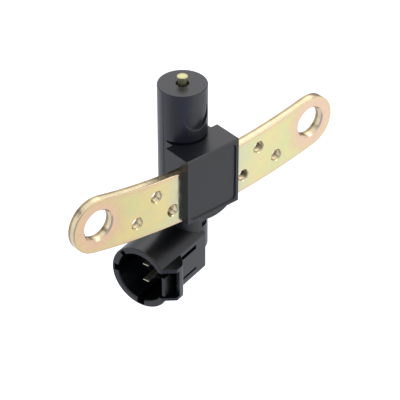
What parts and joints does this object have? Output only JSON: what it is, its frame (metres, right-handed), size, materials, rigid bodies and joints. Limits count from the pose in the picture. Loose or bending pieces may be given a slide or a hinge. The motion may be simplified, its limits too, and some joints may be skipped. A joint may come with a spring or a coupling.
{
  "type": "crankshaft position sensor",
  "caption": "Inductive crankshaft position sensor: black moulded body with a pole pin in its round tip, an angled round plug socket, and a curved steel fixing bracket with an eye at each end.",
  "frame": {"origin": "centre of the pole pin's end face, the point that is set to the toothed wheel", "axes": "+Z along the sensing tip and out of it, +X along the bracket, -Y out of the body's flat front"},
  "size_m": [0.1066, 0.0282, 0.0752],
  "materials": {
    "black_moulding": "black glass-filled moulding, satin",
    "yellow_passivated_zinc": "steel, zinc plated and yellow passivated",
    "soft_iron": "soft iron, thinly plated",
    "tinned_brass": "brass strip, tinned",
    "natural_nylon": "unfilled nylon",
    "enamelled_copper": "enamelled copper wire",
    "polyester_tape": "thin polyester film",
    "magnet_alloy": "ground magnet alloy"
  },
  "bodies": {
    "root": {"housing_body": "black_moulding", "mounting_bracket": "yellow_passivated_zinc", "pole_pin": "soft_iron", "coil_bobbin": "natural_nylon", "coil_winding": "enamelled_copper", "winding_tape": "polyester_tape", "magnet": "magnet_alloy", "lead_start": "enamelled_copper", "lead_finish": "enamelled_copper", "terminal_carrier": "natural_nylon", "terminal_upper": "tinned_brass", "terminal_lower": "tinned_brass"}
  },
  "joints": []
}
